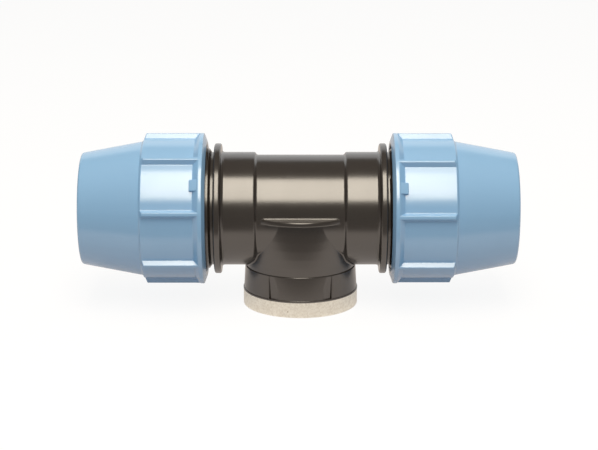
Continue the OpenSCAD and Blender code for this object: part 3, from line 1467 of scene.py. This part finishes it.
@dataclass
class Studio:
    """Pale floor, white surroundings, two lamps, a grey room and the photograph's camera.

    The room, a ceiling with walls in front and beside, stands round the camera and is
    seen in gloss alone. So is the painted shade that darkens the floor beyond the table's edge.

    Attributes:
        camera_at: Place of the camera.
        camera_tilt: Tilt of the camera from straight down, in degrees.
        lens: Focal length of the camera.
        sensor: Width of its sensor.
        lamp_colour: Colour of both lamps.
        key_elevation: Height of the tall softbox over the horizon, in degrees.
        key_distance: Distance of the softbox from the tee.
        key_size: Width and height of the softbox.
        key_power: Power of the softbox in watts.
        top_at: Place of the weak lamp overhead, which gloss doesn't show.
        top_size: Width and depth of that lamp.
        top_power: Power of that lamp in watts.
        ambient: Strength of the room's light on dull surfaces.
        sky: Colour of that light.
        floor_z: Height of the floor, just under the mouth of the branch.
        floor_size: Side of the floor in metres.
        floor_front: Distance from the tee's middle to the front edge of the floor.
        floor_dull: Roughness of the floor.
        floor_blend: Share of plain light in the floor, as gloss shows it and as seen.
        gloss_table: Colour of the table as gloss shows it.
        dull_table: Colour of the table as it lights dull surfaces.
        painted_shade_front: Distances in front between which the floor fades into painted shade, in
            gloss.
        painted_shade_level: Share of light left in that painted shade.
        room_size: Width of the room in metres.
        room_front: Distance from the tee's middle to the wall behind the camera.
        room_back: Distance from the tee's middle to the back edge of the ceiling.
        room_rise: Heights of the walls' lower edge and of the ceiling.
        room_paint: Colour of the walls and the ceiling.
        room_dull: Their roughness.
    """

    camera_at: tuple[float, float, float] = (-0.98, -1305.11, 405.53)
    camera_tilt: float = 75.0
    lens: float = 115.95
    sensor: float = 36.0
    lamp_colour: str = "#fff4e2"
    key_elevation: float = 53.4
    key_distance: float = 1600.0
    key_size: Span = (700.0, 1480.0)
    key_power: float = 23.0
    top_at: tuple[float, float, float] = (0.0, 400.0, 1900.0)
    top_size: Span = (1600.0, 1600.0)
    top_power: float = 16.0
    ambient: float = 0.24
    sky: str = "#f7f6f4"
    floor_z: float = -0.1
    floor_size: float = 12.0
    floor_front: float = 300.0
    floor_dull: float = 0.3
    floor_blend: Span = (0.6, 0.9)
    gloss_table: str = "#fff5ee"
    dull_table: str = "#bcc1c8"
    painted_shade_front: Span = (116.0, 152.0)
    painted_shade_level: float = 0.25
    room_size: float = 4.4
    room_front: float = 2200.0
    room_back: float = 2500.0
    room_rise: Span = (-700.0, 2400.0)
    room_paint: str = "#c4c1bd"
    room_dull: float = 0.9

    def camera(self) -> None:
        """Sets up the camera at the photograph's viewing angle."""
        data = bpy.data.cameras.new("camera")
        data.sensor_width = self.sensor
        data.lens = self.lens
        obj = bpy.data.objects.new("camera", data)
        obj.location = [mm(v) for v in self.camera_at]
        obj.rotation_euler = (math.radians(self.camera_tilt), 0.0, 0.0)
        bpy.context.scene.collection.objects.link(obj)
        bpy.context.scene.camera = obj

    def lamp(self, name: str, place: Vector, way: Vector, size: Span, power: float) -> Object:
        """Hangs an area lamp.

        Args:
            name: Name of the lamp.
            place: Its place.
            way: Direction from what it lights towards the lamp.
            size: Its width and height.
            power: Its power in watts.

        Returns:
            The lamp.
        """
        data = bpy.data.lights.new(name, "AREA")
        data.shape = "RECTANGLE"
        data.size, data.size_y = (mm(v) for v in size)
        data.energy = power
        data.color = linear(self.lamp_colour)[:3]
        obj = bpy.data.objects.new(name, data)
        obj.location = place
        obj.rotation_euler = way.to_track_quat("Z", "Y").to_euler()
        bpy.context.scene.collection.objects.link(obj)
        return obj

    def lamps(self) -> None:
        """Hangs the softbox over the camera and the weak lamp overhead."""
        rise = math.radians(self.key_elevation)
        way = Vector((0.0, -math.cos(rise), math.sin(rise)))
        place = Axis.RUN.centre + way * mm(self.key_distance)
        self.lamp("softbox", place, way, self.key_size, self.key_power)
        place = Vector([mm(v) for v in self.top_at])
        top = self.lamp("overhead", place, Vector((0, 0, 1)), self.top_size, self.top_power)
        top.visible_glossy = False

    def seen(self, tree: NodeTree) -> Node:
        """Adds the test for rays that show the surroundings.

        Args:
            tree: The node tree.

        Returns:
            A node that gives 1 for camera, glossy and transmission rays.
        """
        rays = add_node(tree, "LightPath").outputs
        shown = rays["Is Camera Ray"]
        for kind in ("Glossy", "Transmission"):
            inputs = {"Value": shown, "Value_001": rays[f"Is {kind} Ray"]}
            shown = add_node(tree, "Math", inputs, operation="MAXIMUM")
        return shown

    def surroundings(self) -> None:
        """Makes the world: white where it is seen, grey where it lights dull surfaces."""
        world = bpy.data.worlds.new("studio")
        world.use_nodes = True
        tree = world.node_tree
        tree.nodes.clear()
        grey, white = (
            add_node(tree, "Background", {"Color": linear(colour), "Strength": strength})
            for colour, strength in ((self.sky, self.ambient), (WHITE, 1.0))
        )
        sides = {"Fac": self.seen(tree), "Shader": grey, "Shader_001": white}
        add_node(tree, "OutputWorld", {"Surface": add_node(tree, "MixShader", sides)})
        bpy.context.scene.world = world

    def floor(self) -> None:
        """Lays the pale floor, which keeps the tee's shadow."""
        middle = self.floor_size / 2 - mm(self.floor_front)
        obj = plane("floor", self.floor_size, (0.0, middle, mm(self.floor_z)))
        material, tree = new_material("white_studio_floor")
        tree.nodes.clear()
        rays = add_node(tree, "LightPath").outputs["Is Camera Ray"]
        place = add_node(tree, "TexCoord").outputs["Object"]
        across = add_node(tree, "SeparateXYZ", {"Vector": place}).outputs["Y"]
        # Painted shade: beyond the table's front edge, the floor is darkened as gloss shows it, and
        # left white as seen.
        near, far = self.painted_shade_front
        edge = {"From Min": mm(-far), "From Max": mm(-near), "To Min": self.painted_shade_level}
        lit = add_node(
            tree, "MapRange", {"Value": across, **edge}, interpolation_type="SMOOTHSTEP"
        )
        level = add_node(tree, "Math", {"Value": rays, "Value_001": lit}, operation="MAXIMUM")
        colours = {"A_Color": linear(self.gloss_table), "B_Color": linear(WHITE)}
        colour = add_node(tree, "Mix", {"Factor_Float": rays, **colours}, data_type="RGBA")
        shade = {"Vector": socket(colour.outputs, "Result_Color"), "Scale": level}
        tone = add_node(tree, "VectorMath", shade, operation="SCALE")
        glossy, plain = self.floor_blend
        share = add_node(tree, "MapRange", {"Value": rays, "To Min": glossy, "To Max": plain})
        paper = add_node(tree, "BsdfDiffuse", {"Color": tone, "Roughness": self.floor_dull})
        glow = add_node(tree, "Emission", {"Color": tone, "Strength": 1.0})
        sides = {"Fac": share, "Shader": paper, "Shader_001": glow}
        shown = add_node(tree, "MixShader", sides)
        dull = {"Color": linear(self.dull_table), "Roughness": self.floor_dull}
        table = add_node(tree, "BsdfDiffuse", dull)
        sides = {"Fac": self.seen(tree), "Shader": table, "Shader_001": shown}
        add_node(tree, "OutputMaterial", {"Surface": add_node(tree, "MixShader", sides)})
        dress(obj, material)

    def room(self) -> None:
        """Puts up the grey room round the camera, which only gloss reflects."""
        low, high = self.room_rise
        obj = plane("grey_room", self.room_size, (0.0, 0.0, mm(high)))
        with editing(obj) as mesh:
            for vertex in mesh.verts:
                vertex.co.y = mm(self.room_back if vertex.co.y > 0 else -self.room_front)
            bmesh.update_edit_mesh(obj.data)
            bpy.ops.mesh.select_mode(type="EDGE")
            pick(obj, "edges", lambda e: min(v.co.y for v in e.verts) < 0)
            drop = {"value": (0.0, 0.0, mm(low - high))}
            bpy.ops.mesh.extrude_region_move(TRANSFORM_OT_translate=drop)
        obj.visible_camera = False
        obj.visible_diffuse = False
        material, tree = new_material("grey_room_paint")
        paint = {"Base Color": linear(self.room_paint), "Roughness": self.room_dull}
        connect(tree, tree.nodes["Principled BSDF"], paint)
        dress(obj, material)

    def build(self) -> None:
        """Sets up the camera, the lamps, the world, the floor and the room."""
        self.camera()
        self.lamps()
        self.surroundings()
        self.floor()
        self.room()
        bpy.context.scene.view_settings.view_transform = "Standard"


def main() -> None:
    """Builds the tee's pieces in order."""
    logging.basicConfig(level=logging.INFO, format="%(message)s")
    Studio().build()
    body_plastic = BODY_PLASTIC.make()
    fine_plastic = FINE_BODY_PLASTIC.make()
    TeeBody().build(body_plastic, BAND_STEEL.make())
    threads = RunThreads()
    for side in Side:
        threads.male(side, fine_plastic)
    BranchThread().build(fine_plastic)
    BranchCrease().build(fine_plastic)
    BodyRings().build(fine_plastic)
    SealPacks().build()
    ScrewNuts().build(threads, NUT_PLASTIC.make())


if __name__ == "__main__":
    main()
